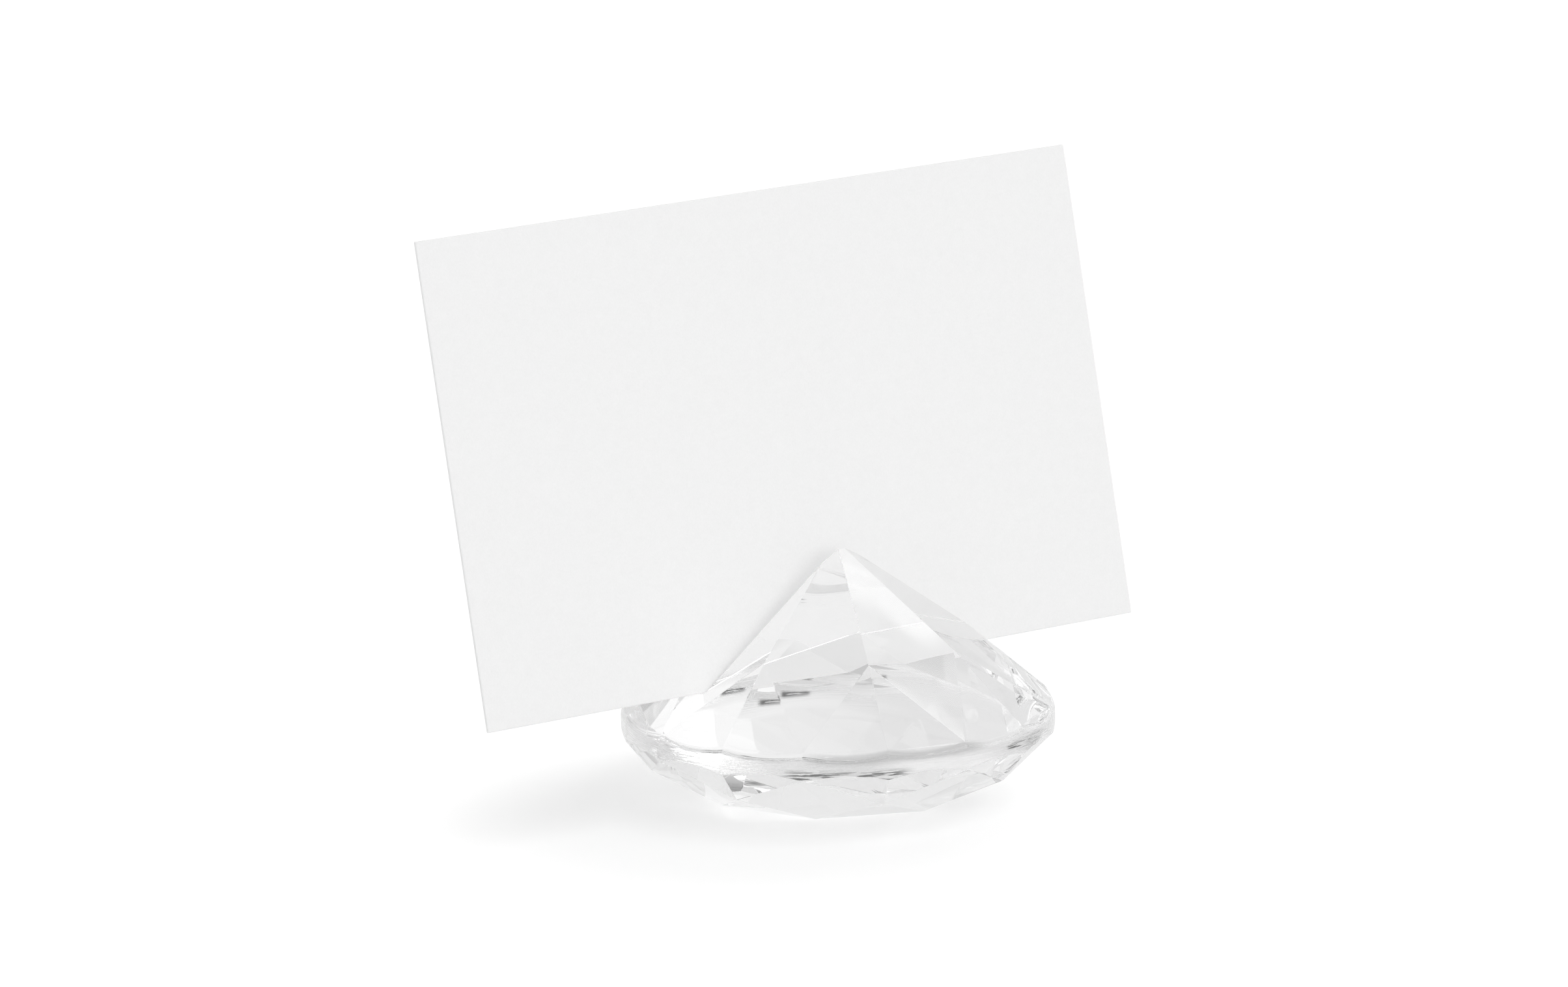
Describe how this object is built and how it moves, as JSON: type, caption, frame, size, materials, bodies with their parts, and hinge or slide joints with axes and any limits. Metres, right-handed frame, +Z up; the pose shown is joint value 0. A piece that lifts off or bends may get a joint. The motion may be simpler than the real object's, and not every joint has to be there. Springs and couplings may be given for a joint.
{
  "type": "place card holder",
  "caption": "Clear glass place card holder cut like a round brilliant standing on its table, with a blank white card leaning in the slot across its point.",
  "frame": {"origin": "centre of the octagonal table facet that the glass stands on, at the surface of the table it stands on", "axes": "+Z up, +X along the slot, and -Y the side that the front of the card faces"},
  "size_m": [0.09, 0.0494, 0.0674],
  "materials": {
    "crystal_glass": "polished",
    "card_paper": "matte"
  },
  "bodies": {
    "holder": {"diamond_holder": "crystal_glass"},
    "card": {"place_card": "card_paper"}
  },
  "joints": [
    {"name": "card_lift", "type": "slide", "parent": "holder", "child": "card", "axis": [0, 0.2268, 0.9739], "range_m": [0, 0.02]}
  ]
}
